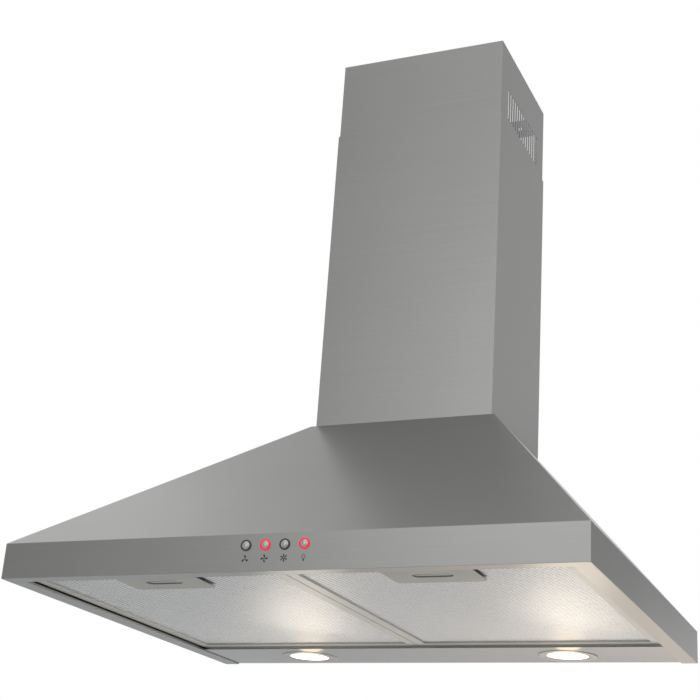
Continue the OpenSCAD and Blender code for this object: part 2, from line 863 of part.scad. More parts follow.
module finger_slot() {
    end_x = (slot_l - slot_w) / 2;
    block([-end_x, slot_y - slot_w / 2, handle_z - cut], [end_x, slot_y + slot_w / 2, filter_z + cut]);
    mirror_x() rod_z(slot_w / 2, handle_z - cut, filter_z + cut, end_x, slot_y);
}

// The plate is staked to the frame's front flange and guides the latch between two ribs
module filter_handle(side) {
    x = handle_w / 2;
    guide_x = latch_w / 2 + run_gap;
    guide_y = filter_front_y + filter_flange_w + seat_gap;
    color("darkgray") at_filter(side) {
        difference() {
            union() {
                block([-x, filter_front_y, handle_z], [x, handle_rear_y - handle_corner_r, filter_z]);
                block([-x + handle_corner_r, filter_front_y, handle_z],
                    [x - handle_corner_r, handle_rear_y, filter_z]);
                mirror_x() rod_z(handle_corner_r, handle_z, filter_z,
                    x - handle_corner_r, handle_rear_y - handle_corner_r);
            }
            finger_slot();
        }
        mirror_x() {
            block([guide_x, guide_y, filter_z],
                [guide_x + guide_t, handle_rear_y - stop_t, filter_z + guide_h]);
            rod_z(stake_r, filter_z, filter_z + filter_sheet_t,
                stake_x, filter_front_y + filter_flange_w / 2);
            rod_z(stake_head_r, filter_z + filter_sheet_t, filter_z + filter_sheet_t + stake_head_h,
                stake_x, filter_front_y + filter_flange_w / 2);
        }
        block([-guide_x - guide_t, handle_rear_y - stop_t, filter_z],
            [guide_x + guide_t, handle_rear_y, filter_z + guide_h]);
    }
}

// Its tongue lies over the canopy's front hem. A finger draws it back by the window's rear edge.
module filter_latch(side) {
    window_front_y = slot_y - slot_w / 2;
    color("lightgray") at_filter(side) difference() {
        union() {
            block([-latch_w / 2, latch_front_y, latch_z], [latch_w / 2, latch_rear_y, latch_z + latch_t]);
            block([-tongue_w / 2, open_front_y - tongue_reach, latch_z],
                [tongue_w / 2, latch_rear_y, latch_z + latch_t]);
        }
        block([-finger_w / 2, window_front_y, latch_z - cut],
            [finger_w / 2, window_front_y + finger_d, latch_z + latch_t + cut]);
    }
}

// A flat wire bent to and fro between the latch and the plate's rear stop
module latch_spring(side) {
    near_y = latch_rear_y + seat_gap;
    far_y = handle_rear_y - stop_t - seat_gap - spring_wire;
    step = (far_y - near_y) / (spring_runs - 1);
    half = spring_w / 2;
    color("gray") at_filter(side) translate([0, 0, latch_z]) linear_extrude(spring_wire) {
        for (i = [0:spring_runs - 1])
            translate([-half, near_y + i * step]) square([spring_w, spring_wire]);
        for (i = [0:spring_runs - 2])
            translate([i % 2 == 0 ? half - spring_wire : -half, near_y + i * step])
                square([spring_wire, step + spring_wire]);
    }
}

// Blower

module blower_plate() {
    color("gainsboro") difference() {
        block([-plate_x, duct_y - plate_d / 2, plate_top_z - plate_t],
            [plate_x, duct_y + plate_d / 2, plate_top_z]);
        block([-throat_w / 2, duct_y - throat_d / 2, plate_top_z - plate_t - cut],
            [throat_w / 2, duct_y + throat_d / 2, plate_top_z + cut]);
        for (p = concat(plate_screw_places(), collar_screw_places()))
            rod_z(screw_r, plate_top_z - plate_t - cut, plate_top_z + cut, p[0], p[1]);
    }
}

// Screws of one size: chimney to canopy, canopy to plate, collar to scroll, scroll halves and motor bracket
module m4_screws() {
    color("dimgray") {
        for (p = tab_screw_places()) screw_down(p, canopy_h + sheet_t);
        for (p = plate_screw_places()) screw_down(p, canopy_h);
        for (p = collar_screw_places()) screw_down(p, plate_top_z + collar_flange_t);
        for (p = boss_places()) {
            rod_x(screw_head_r, -boss_l - screw_head_h, -boss_l, p[0], p[1]);
            rod_x(screw_r, -boss_l, boss_l, p[0], p[1]);
        }
        for (p = grommet_places()) {
            rod_x(screw_head_r, motor_right_x + arm_t, motor_right_x + arm_t + screw_head_h, p[0], p[1]);
            rod_x(screw_r, scroll_w / 2 - scroll_t, motor_right_x + arm_t, p[0], p[1]);
        }
    }
}

// The scroll opens steadily from the cut-off, over the front and the bottom, to the exit at the back
function scroll_radius(a, start) = cutoff_r + scroll_growth * (a - start) / (360 - start);
function spiral(start, extra) = [
    for (i = [0:ceil((360 - start) / scroll_step)])
        let (a = min(360, start + i * scroll_step))
        [
            fan_y + (scroll_radius(a, start) + extra) * cos(a),
            fan_z + (scroll_radius(a, start) + extra) * sin(a)
        ]
];
function boss_places() = concat(
    [
        for (a = boss_angles) [
            fan_y + (scroll_radius(a, cutoff_angle) + scroll_t + boss_out) * cos(a),
            fan_z + (scroll_radius(a, cutoff_angle) + scroll_t + boss_out) * sin(a)
        ]
    ],
    [[fan_y + scroll_exit_r + scroll_t + boss_out, fan_z + boss_rise]]
);
function grommet_places() = [
    for (a = arm_angles) [fan_y + grommet_at_r * cos(a), fan_z + grommet_at_r * sin(a)]
];

module scroll_outline(start, extra, top_z) {
    polygon(concat(spiral(start, extra), [
        [fan_y + scroll_exit_r + extra, top_z],
        [fan_y + scroll_exit_r - throat_d - extra, top_z]
    ]));
}

// One half of the scroll, on the positive side of X
module scroll_half() {
    top_z = plate_top_z - plate_t;
    difference() {
        union() {
            along_x(0, scroll_w / 2) scroll_outline(outer_cutoff_angle, scroll_t, top_z);
            block([0, duct_y - scroll_flange_d / 2, top_z - scroll_flange_t],
                [scroll_flange_x, duct_y + scroll_flange_d / 2, top_z]);
            for (p = boss_places()) rod_x(boss_r, 0, boss_l, p[0], p[1]);
        }
        along_x(-cut, scroll_w / 2 - scroll_t) scroll_outline(cutoff_angle, 0, top_z + cut);
        rod_x(inlet_r, 0, scroll_w / 2 + cut, fan_y, fan_z);
        for (p = boss_places()) rod_x(screw_r, -cut, boss_l + cut, p[0], p[1]);
        for (p = collar_screw_places())
            rod_z(screw_r, top_z - scroll_flange_t - cut, top_z + cut, p[0], p[1]);
    }
}

module scroll_left() {
    color("ivory") mirror([1, 0, 0]) scroll_half();
}

module scroll_right() {
    color("ivory") difference() {
        scroll_half();
        for (p = grommet_places())
            rod_x(screw_r, scroll_w / 2 - scroll_t - cut, scroll_w / 2 + cut, p[0], p[1]);
    }
}

module impeller() {
    blade_end_x = impeller_w / 2 - blade_ring_w / 2;
    color("whitesmoke") difference() {
        union() {
            rod_x(blade_in_r + blade_ring_w, -disc_t / 2, disc_t / 2, fan_y, fan_z);
            rod_x(hub_r, -hub_l, disc_t / 2, fan_y, fan_z);
            for (x = [-impeller_w / 2, impeller_w / 2 - blade_ring_w]) difference() {
                rod_x(impeller_r, x, x + blade_ring_w, fan_y, fan_z);
                rod_x(blade_in_r + blade_ring_w, x - cut, x + blade_ring_w + cut, fan_y, fan_z);
            }
            for (i = [0:blade_count - 1])
                translate([0, fan_y, fan_z]) rotate([i * 360 / blade_count, 0, 0])
                    translate([0, (impeller_r + blade_in_r) / 2, 0]) rotate([blade_lean, 0, 0])
                        block([-blade_end_x, -blade_d / 2, -blade_t / 2],
                            [blade_end_x, blade_d / 2, blade_t / 2]);
        }
        rod_x(shaft_r, -hub_l - cut, disc_t, fan_y, fan_z);
    }
}

module fan_shaft() {
    color("silver") rod_x(shaft_r, shaft_left_x, motor_right_x - arm_t, fan_y, fan_z);
}

module shaft_nut() {
    color("gold") difference() {
        translate([-hub_l - nut_t, fan_y, fan_z]) rotate([0, 90, 0]) cylinder(r = nut_r, h = nut_t, $fn = 6);
        rod_x(shaft_r, -hub_l - nut_t - cut, -hub_l + cut, fan_y, fan_z);
    }
}

module motor_body() {
    color("darkgray") difference() {
        union() {
            rod_x(motor_r - motor_rib_out, motor_left_x, motor_right_x, fan_y, fan_z);
            for (i = [0:motor_ribs - 1]) translate([0, fan_y, fan_z]) rotate([i * 360 / motor_ribs, 0, 0])
                block([motor_left_x + motor_nose_l, 0, -motor_rib_w / 2],
                    [motor_right_x - motor_nose_l, motor_r, motor_rib_w / 2]);
            rod_x(motor_nose_r, motor_left_x - motor_nose_l, motor_left_x, fan_y, fan_z);
        }
        rod_x(shaft_r + shaft_gap, motor_left_x - motor_nose_l - cut, motor_right_x - arm_t + run_gap,
            fan_y, fan_z);
    }
}

module motor_bracket() {
    color("gainsboro") difference() {
        union() {
            difference() {
                rod_x(bracket_ring_out_r, motor_right_x, motor_right_x + arm_t, fan_y, fan_z);
                rod_x(bracket_ring_in_r, motor_right_x - cut, motor_right_x + arm_t + cut, fan_y, fan_z);
            }
            rod_x(bracket_plate_r, motor_right_x, motor_right_x + arm_t, fan_y, fan_z);
            for (a = arm_angles) translate([motor_right_x, fan_y, fan_z]) rotate([a, 0, 0])
                block([0, 0, -arm_w / 2], [arm_t, grommet_at_r, arm_w / 2]);
        }
        for (p = grommet_places())
            rod_x(screw_r, motor_right_x - cut, motor_right_x + arm_t + cut, p[0], p[1]);
    }
}

module motor_grommets() {
    color("black") for (p = grommet_places()) difference() {
        rod_x(grommet_r, scroll_w / 2, motor_right_x, p[0], p[1]);
        rod_x(screw_r, scroll_w / 2 - cut, motor_right_x + cut, p[0], p[1]);
    }
}

module capacitor() {
    y = panel_y - sheet_t - clip_t - capacitor_r;
    color("white") rod_z(capacitor_r, capacitor_z, capacitor_z + capacitor_l, capacitor_x, y);
}

module capacitor_clip() {
    y = panel_y - sheet_t - clip_t - capacitor_r;
    low_z = capacitor_z + (capacitor_l - clip_h) / 2;
    color("gainsboro") difference() {
        union() {
            rod_z(capacitor_r + clip_t, low_z, low_z + clip_h, capacitor_x, y);
            block([capacitor_x - clip_foot_x, panel_y - sheet_t - clip_t, low_z],
                [capacitor_x + clip_foot_x, panel_y - sheet_t, low_z + clip_h]);
        }
        rod_z(capacitor_r, low_z - cut, low_z + clip_h + cut, capacitor_x, y);
    }
}

module outlet_collar() {
    in_r = duct_r - collar_wall;
    ledge_top_z = pin_z - flap_drop - flap_t - seat_gap;
    base_z = plate_top_z;
    color("gray") difference() {
        translate([0, duct_y, 0]) rotate_extrude() polygon([
            [in_r, base_z], [collar_flange_r, base_z], [collar_flange_r, base_z + collar_flange_t],
            [duct_r, base_z + collar_flange_t], [duct_r, collar_top_z], [in_r, collar_top_z],
            [in_r, ledge_top_z], [in_r - flap_ledge_w, ledge_top_z],
            [in_r - flap_ledge_w, ledge_top_z - flap_ledge_t], [in_r, ledge_top_z - flap_ledge_t]
        ]);
        rod_y(pin_r, duct_y - in_r - pin_seat, duct_y + in_r + pin_seat, 0, pin_z);
        for (p = collar_screw_places())
            rod_z(screw_r, base_z - cut, base_z + collar_flange_t + cut, p[0], p[1]);
    }
}

module flap_pin() {
    reach = duct_r - collar_wall + pin_seat;
    color("silver") rod_y(pin_r, duct_y - reach, duct_y + reach, 0, pin_z);
}

// A half disc that hangs from two knuckles on the pin. Each flap's knuckles lie beside the other's.
module flap(side) {
    top_z = pin_z - flap_drop;
    shift = side > 0 ? knuckle_l : 0;
    color("dimgray") difference() {
        union() {
            intersection() {
                rod_z(flap_r, top_z - flap_t, top_z, 0, duct_y);
                block([side > 0 ? flap_inner_x : -flap_r, duct_y - flap_r, top_z - flap_t],
                    [side > 0 ? flap_r : -flap_inner_x, duct_y + flap_r, top_z]);
            }
            for (k = knuckle_ys) {
                y = duct_y + k + shift;
                rod_y(knuckle_r, y + run_gap / 2, y + knuckle_l - run_gap / 2, 0, pin_z);
                block([side > 0 ? 0 : -flap_inner_x - cut, y + run_gap / 2, top_z - flap_t],
                    [side > 0 ? flap_inner_x + cut : 0, y + knuckle_l - run_gap / 2, top_z]);
            }
        }
        rod_y(pin_r + pin_gap, duct_y - duct_r, duct_y + duct_r, 0, pin_z);
    }
}

module junction_box() {
    back = panel_y - sheet_t;
    x1 = box_x - box_w / 2;
    x2 = box_x + box_w / 2;
    color("white") difference() {
        block([x1, back - box_d, box_z], [x2, back, box_z + box_h]);
        block([x1 + box_t, back - box_d - cut, box_z + box_t],
            [x2 - box_t, back - box_t, box_z + box_h - box_t]);
        rod_z(box_hole_r, box_z + box_h - box_t - cut, box_z + box_h + cut, box_x, back - box_d / 2);
    }
}

module junction_lid() {
    back = panel_y - sheet_t - box_d;
    color("whitesmoke") {
        block([box_x - box_w / 2, back - box_t, box_z], [box_x + box_w / 2, back, box_z + box_h]);
        block([box_x - box_w / 2 + box_t + seat_gap, back - box_t, box_z + box_t + seat_gap],
            [box_x + box_w / 2 - box_t - seat_gap, back + box_t, box_z + box_h - box_t - seat_gap]);
    }
}

// The mains lead enters the hood here, through the canopy's top inside the chimney
module cable_gland() {
    y = back_y - gland_inset;
    under_z = canopy_h - sheet_t;
    color("black") difference() {
        union() {
            rod_z(gland_flange_r, canopy_h, canopy_h + gland_flange_t, gland_x, y);
            rod_z(gland_r, under_z, canopy_h, gland_x, y);
            rod_z(gland_nut_r, under_z - gland_below, under_z, gland_x, y);
        }
        rod_z(gland_bore_r, under_z - gland_below - cut, canopy_h + gland_flange_t + cut, gland_x, y);
    }
}

canopy_front();
canopy_left();
canopy_right();
back_panel();
lamp_panel();
filter_rail();
chimney_lower();
chimney_upper();
ceiling_bracket();
bracket_screws();
switch_housing();
control_board();
tact_switches();
light_ring(0);  // light_ring_1
light_ring(1);  // light_ring_2
light_ring(2);  // light_ring_3
light_ring(3);  // light_ring_4
button(0);  // button_1
button(1);  // button_2
button(2);  // button_3
button(3);  // button_4
lamp_bezel(-1);  // lamp_bezel_left
lamp_lens(-1);  // lamp_lens_left
lamp_reflector(-1);  // lamp_reflector_left
lamp_bulb(-1);  // lamp_bulb_left
lamp_housing(-1);  // lamp_housing_left
lamp_bezel(1);  // lamp_bezel_right
lamp_lens(1);  // lamp_lens_right
lamp_reflector(1);  // lamp_reflector_right
lamp_bulb(1);  // lamp_bulb_right
lamp_housing(1);  // lamp_housing_right
filter_frame(-1);  // filter_frame_left
filter_mesh(-1);  // filter_mesh_left
filter_handle(-1);  // filter_handle_left
filter_latch(-1);  // filter_latch_left
latch_spring(-1);  // latch_spring_left
filter_frame(1);  // filter_frame_right
filter_mesh(1);  // filter_mesh_right
filter_handle(1);  // filter_handle_right
filter_latch(1);  // filter_latch_right
latch_spring(1);  // latch_spring_right
blower_plate();
m4_screws();
scroll_left();
scroll_right();
impeller();
fan_shaft();
shaft_nut();
motor_body();
motor_bracket();
motor_grommets();
capacitor();
capacitor_clip();
outlet_collar();
flap_pin();
flap(-1);  // flap_left
flap(1);  // flap_right
junction_box();
junction_lid();
cable_gland();
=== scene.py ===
import json
import math

import bmesh
import bpy
from mathutils import Matrix, Vector

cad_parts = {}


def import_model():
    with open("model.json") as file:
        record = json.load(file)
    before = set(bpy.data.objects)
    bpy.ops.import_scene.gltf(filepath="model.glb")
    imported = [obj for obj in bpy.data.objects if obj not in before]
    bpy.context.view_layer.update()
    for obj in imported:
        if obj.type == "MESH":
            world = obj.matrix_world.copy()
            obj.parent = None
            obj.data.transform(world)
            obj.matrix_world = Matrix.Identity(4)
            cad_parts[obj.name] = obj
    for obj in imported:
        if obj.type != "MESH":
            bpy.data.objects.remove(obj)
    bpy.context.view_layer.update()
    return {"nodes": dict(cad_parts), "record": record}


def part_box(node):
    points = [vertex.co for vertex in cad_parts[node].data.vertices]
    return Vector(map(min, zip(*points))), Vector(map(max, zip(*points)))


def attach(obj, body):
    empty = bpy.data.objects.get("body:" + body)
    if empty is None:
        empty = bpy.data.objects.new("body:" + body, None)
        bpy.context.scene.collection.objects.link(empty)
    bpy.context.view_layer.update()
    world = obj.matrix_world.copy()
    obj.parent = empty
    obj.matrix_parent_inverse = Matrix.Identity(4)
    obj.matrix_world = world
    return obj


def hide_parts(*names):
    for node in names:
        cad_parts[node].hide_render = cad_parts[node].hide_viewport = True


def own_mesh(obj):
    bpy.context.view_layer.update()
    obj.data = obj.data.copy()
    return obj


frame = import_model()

SIDES = {"left": -1, "right": 1}
MM = 0.001

# The photograph's camera in the hood's frame. Its turn is an axis as long as the angle.
CAMERA_PLACE = (0.5979066, -1.42722, -0.2900488)
CAMERA_TURN = Vector((-0.3789, 0.4059, -0.0098))
CAMERA_FOCAL_PX = 1453.8036
PHOTO_PX = 700
SENSOR_MM = 36


def middle_of(name):
    """The middle of a node's box."""
    low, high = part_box(name)
    return [(a + b) / 2 for a, b in zip(low, high)]


BUTTON_COUNT = 4
BUTTON_PITCH = 20 * MM
BUTTON_X, _, BUTTON_Z = middle_of("button_1")
LAMP_X, LAMP_Y, _ = middle_of("lamp_lens_right")


# Materials

# A face whose normal is at least this upright counts as level
LEVEL_FROM = 0.95


def linear(hex_colour):
    """The linear colour, with alpha, of an sRGB hex value."""
    parts = [int(hex_colour[i:i + 2], 16) / 255 for i in (1, 3, 5)]
    return (*(p / 12.92 if p <= 0.04045 else ((p + 0.055) / 1.055) ** 2.4 for p in parts), 1)


def node(tree, kind, links=None, **settings):
    """Adds a node. A setting named input_N or after a socket is its value, and links join sockets to it."""
    made = tree.nodes.new(kind)
    for name, value in settings.items():
        if name.startswith("input_"):
            made.inputs[int(name[6:])].default_value = value
        elif hasattr(made, name):
            setattr(made, name, value)
        else:
            made.inputs[name.replace("_", " ")].default_value = value
    for socket, source in (links or {}).items():
        tree.links.new(source, made.inputs[socket])
    return made


def start_material(name, colour, roughness, **settings):
    """A material with one Principled shader, and its object coordinates in metres."""
    material = bpy.data.materials.new(name)
    material.use_nodes = True
    tree = material.node_tree
    tree.nodes.clear()
    shader = node(tree, "ShaderNodeBsdfPrincipled", Base_Color=linear(colour), Roughness=roughness,
                  **settings)
    node(tree, "ShaderNodeOutputMaterial", {"Surface": shader.outputs[0]})
    place = node(tree, "ShaderNodeTexCoord").outputs["Object"]
    return material, tree, shader, place


def grain(tree, place, size_mm, stretch=(1, 1, 1), detail=2):
    """A pattern whose grains are size_mm across, drawn out along each axis by stretch."""
    scale = [1 / (size_mm * MM * s) for s in stretch]
    fitted = node(tree, "ShaderNodeMapping", {"Vector": place}, Scale=scale)
    return node(tree, "ShaderNodeTexNoise", {"Vector": fitted.outputs[0]}, Scale=1, Detail=detail).outputs[0]


def dress(tree, shader, tone, colours, rough, roughness, relief=None, depth_mm=0.0):
    """Colour between two hex values by tone, roughness between two values by rough, and bumps of relief."""
    colour = node(tree, "ShaderNodeMix", {"Factor": tone}, data_type="RGBA",
                  input_6=linear(colours[0]), input_7=linear(colours[1]))
    spread = node(tree, "ShaderNodeMapRange", {"Value": rough}, To_Min=roughness[0], To_Max=roughness[1])
    tree.links.new(colour.outputs[2], shader.inputs["Base Color"])
    tree.links.new(spread.outputs[0], shader.inputs["Roughness"])
    if relief:
        bumps = node(tree, "ShaderNodeBump", {"Height": relief}, Distance=depth_mm * MM, Strength=1)
        tree.links.new(bumps.outputs[0], shader.inputs["Normal"])


def brush_lines(tree, place, line_mm, length_mm):
    """Lines that run level on every upright or sloping sheet, and along X on a level one."""
    drawn = length_mm / line_mm
    upright = grain(tree, place, line_mm, (drawn, drawn, 1))
    level = grain(tree, place, line_mm, (drawn, 1, 1))
    normal = node(tree, "ShaderNodeTexCoord").outputs["Normal"]
    up = node(tree, "ShaderNodeSeparateXYZ", {0: normal}).outputs[2]
    steep = node(tree, "ShaderNodeMath", {0: up}, operation="ABSOLUTE").outputs[0]
    flat = node(tree, "ShaderNodeMath", {0: steep}, operation="GREATER_THAN", input_1=LEVEL_FROM).outputs[0]
    return node(tree, "ShaderNodeMix", {0: flat, 2: upright, 3: level}, data_type="FLOAT").outputs[0]


def brushed_stainless(name, roughness):
    """AISI 430 sheet, belt ground along its width: level lines under a satin shine, with faint clouds."""
    material, tree, shader, place = start_material(name, "#9B9C9A", roughness, Metallic=1)
    # The real scratches are about 0.1 mm wide. They are drawn 0.7 mm wide, so that they show.
    lines = brush_lines(tree, place, 0.7, 120)
    cloud = grain(tree, place, 160, detail=1)
    tone = node(tree, "ShaderNodeMix", {2: lines, 3: cloud}, data_type="FLOAT", input_0=0.4).outputs[0]
    spread = node(tree, "ShaderNodeMapRange", {"Value": tone}, From_Min=0.3, From_Max=0.7).outputs[0]
    dress(tree, shader, spread, ("#989997", "#9E9F9D"), lines, (roughness - 0.02, roughness + 0.02),
          lines, 0.0012)
    return material


def galvanised_sheet():
    """Hot-dip galvanised sheet: dull zinc with spangles about 9 mm across."""
    material, tree, shader, place = start_material("galvanised_sheet", "#9EA3A6", 0.45, Metallic=1)
    fitted = node(tree, "ShaderNodeMapping", {"Vector": place}, Scale=[1 / (9 * MM)] * 3).outputs[0]
    cells = node(tree, "ShaderNodeTexVoronoi", {"Vector": fitted}, Scale=1).outputs["Color"]
    spangle = node(tree, "ShaderNodeSeparateColor", {0: cells}).outputs[0]
    dress(tree, shader, spangle, ("#93989C", "#ADB2B4"), grain(tree, place, 60, detail=4), (0.36, 0.56),
          spangle, 0.02)
    return material


def zinc_screw():
    """Bright zinc plating over cold-headed steel, a little cloudy."""
    material, tree, shader, place = start_material("zinc_screw", "#B9BCC0", 0.28, Metallic=1)
    cloud = grain(tree, place, 2.5, detail=3)
    dress(tree, shader, cloud, ("#A4A8AC", "#C9CBCE"), cloud, (0.2, 0.38), cloud, 0.01)
    return material


def rolled_aluminium(name, dark, light):
    """Mill-finish aluminium strip: soft, warm grey, with rolling lines along X."""
    material, tree, shader, place = start_material(name, light, 0.42, Metallic=0.6)
    lines = grain(tree, place, 1.2, (60, 1, 1), 3)
    dress(tree, shader, grain(tree, place, 45), (dark, light), lines, (0.34, 0.5), lines, 0.012)
    return material


def expanded_foil(name, dark, light):
    """Expanded aluminium foil: cut strands, each catching the light a little differently."""
    material, tree, shader, place = start_material(name, light, 0.38, Metallic=1)
    strand = grain(tree, place, 3.5)
    dress(tree, shader, strand, (dark, light), grain(tree, place, 70), (0.3, 0.44), strand, 0.03)
    return material


def drawn_steel(name):
    """Drawn steel wire or rod, dark and smooth, with faint lines left along X by the die."""
    material, tree, shader, place = start_material(name, "#7D7F83", 0.25, Metallic=1)
    lines = grain(tree, place, 0.3, (20, 1, 1))
    dress(tree, shader, lines, ("#6F7175", "#8C8E92"), lines, (0.18, 0.34))
    return material


def turned_steel(name, second, spacing, first, level, colours, roughness, ring_mm):
    """Turned steel: fine rings in the plane of X and a second axis, round centres one spacing apart."""
    material, tree, shader, place = start_material(name, colours[1], roughness, Metallic=1, Anisotropic=0.75)
    parts = node(tree, "ShaderNodeSeparateXYZ", {0: place}).outputs
    shifted = node(tree, "ShaderNodeMath", {0: parts["X"]}, operation="SUBTRACT", input_1=first).outputs[0]
    wrapped = node(tree, "ShaderNodeMath", {0: shifted}, operation="WRAP",
                   input_1=spacing / 2, input_2=-spacing / 2).outputs[0]
    other = node(tree, "ShaderNodeMath", {0: parts[second]}, operation="SUBTRACT", input_1=level).outputs[0]
    flat = node(tree, "ShaderNodeCombineXYZ", {0: wrapped, 1: other}).outputs[0]
    radius = node(tree, "ShaderNodeVectorMath", {0: flat}, operation="LENGTH").outputs["Value"]
    rings = node(tree, "ShaderNodeMath", {0: radius}, operation="MULTIPLY",
                 input_1=2 * math.pi / (ring_mm * MM)).outputs[0]
    wave = node(tree, "ShaderNodeMath", {0: rings}, operation="SINE").outputs[0]
    share = node(tree, "ShaderNodeMapRange", {"Value": wave}, From_Min=-1).outputs[0]
    dress(tree, shader, share, colours, share, (roughness, roughness + 0.08), share, 0.004)
    # The shine stretches across the rings that the lathe leaves
    back = node(tree, "ShaderNodeMath", {0: other}, operation="MULTIPLY", input_1=-1).outputs[0]
    around = node(tree, "ShaderNodeCombineXYZ", {"X": back, second: wrapped}).outputs[0]
    tree.links.new(around, shader.inputs["Tangent"])
    return material


def moulded(name, dark, light, roughness, grain_mm, depth_mm):
    """Injection-moulded plastic or rubber: a fine spark-eroded grain, with faint flow clouds."""
    material, tree, shader, place = start_material(name, light, roughness, IOR=1.5)
    fine = grain(tree, place, grain_mm)
    dress(tree, shader, grain(tree, place, grain_mm * 40), (dark, light), fine,
          (roughness - 0.06, roughness + 0.06), fine, depth_mm)
    return material


def lamp_glass():
    """Sand-blasted glass, lit evenly from behind, with a faint cloud in its glow."""
    material, tree, shader, place = start_material("lamp_glass", "#F4F1EA", 0.55, IOR=1.5,
                                                   Emission_Strength=2.0)
    blast = grain(tree, place, 0.8)
    glow = node(tree, "ShaderNodeMix", {"Factor": grain(tree, place, 18, detail=1)}, data_type="RGBA",
                input_6=linear("#FFF1D8"), input_7=linear("#FFFAF0"))
    tree.links.new(glow.outputs[2], shader.inputs["Emission Color"])
    dress(tree, shader, blast, ("#EFECE4", "#F8F6F0"), blast, (0.45, 0.65), blast, 0.02)
    return material


def bulb_glass():
    """Frosted quartz capsule of a halogen lamp, glowing."""
    material, tree, shader, place = start_material("bulb_glass", "#FBF7EC", 0.3, IOR=1.46,
                                                   Emission_Strength=3, Emission_Color=linear("#FFEBC8"))
    frost = grain(tree, place, 1.5)
    dress(tree, shader, frost, ("#F6F0E0", "#FFFCF4"), frost, (0.2, 0.4), frost, 0.01)
    return material


def polished_reflector():
    """Vapour-coated aluminium reflector with pressed facets about 3 mm wide."""
    material, tree, shader, place = start_material("polished_reflector", "#E3E4E6", 0.08, Metallic=1)
    fitted = node(tree, "ShaderNodeMapping", {"Vector": place}, Scale=[1 / (3 * MM)] * 3).outputs[0]
    facet = node(tree, "ShaderNodeTexVoronoi", {"Vector": fitted}, Scale=1).outputs["Distance"]
    dress(tree, shader, facet, ("#D8DADC", "#ECEDEE"), facet, (0.05, 0.15), facet, 0.15)
    return material


def light_guide(name, dark, light, glow, strength):
    """Tinted polycarbonate ring that carries the light of a diode behind it, or, when unlit, a faint painted
    red glow.
    """
    material, tree, shader, place = start_material(name, light, 0.3, IOR=1.58, Specular_IOR_Level=0.25,
                                                   Emission_Strength=strength, Emission_Color=linear(glow))
    cloud = grain(tree, place, 1.6)
    dress(tree, shader, cloud, (dark, light), cloud, (0.26, 0.38), cloud, 0.01)
    return material


def printed_ink():
    """Pad-printed ink: near black and matt, a little thinner in places."""
    material, tree, shader, place = start_material("printed_ink", "#2B2B2C", 0.6, IOR=1.5)
    thin = grain(tree, place, 0.5)
    dress(tree, shader, thin, ("#1C1C1D", "#303032"), thin, (0.5, 0.7), thin, 0.004)
    return material


def circuit_board():
    """Glass-epoxy laminate under green solder mask, with copper tracks showing as paler lines."""
    material, tree, shader, place = start_material("circuit_board", "#1E5A3A", 0.35, IOR=1.55)
    fitted = node(tree, "ShaderNodeMapping", {"Vector": place}, Scale=[1 / (3.2 * MM)] * 3).outputs[0]
    tracks = node(tree, "ShaderNodeTexBrick", {"Vector": fitted}, Scale=1, Color1=(1, 1, 1, 1),
                  Color2=(1, 1, 1, 1), Mortar=(0, 0, 0, 1), Mortar_Size=0.06).outputs["Color"]
    dress(tree, shader, tracks, ("#3C8B5B", "#1B5235"), tracks, (0.28, 0.4), tracks, 0.03)
    return material


def enamelled_motor():
    """Grey enamel over pressed end bells and a stack of laminations."""
    material, tree, shader, place = start_material("enamelled_motor", "#6E7174", 0.42, IOR=1.5)
    # The real laminations are 0.5 mm thick. They are drawn 1.5 mm thick, so that they show.
    cloud = grain(tree, place, 25, detail=3)
    sheets = grain(tree, place, 1.5, (1, 60, 60))
    dress(tree, shader, cloud, ("#63666A", "#7B7E82"), cloud, (0.34, 0.5), sheets, 0.08)
    return material


def turned_brass():
    """Free-cutting brass, turned, slightly tarnished."""
    material, tree, shader, place = start_material("turned_brass", "#C9A557", 0.3, Metallic=1)
    lines = grain(tree, place, 0.4, (1, 30, 30))
    tarnish = grain(tree, place, 6, detail=3)
    dress(tree, shader, tarnish, ("#A9853F", "#D3B266"), lines, (0.22, 0.4), lines, 0.01)
    return material


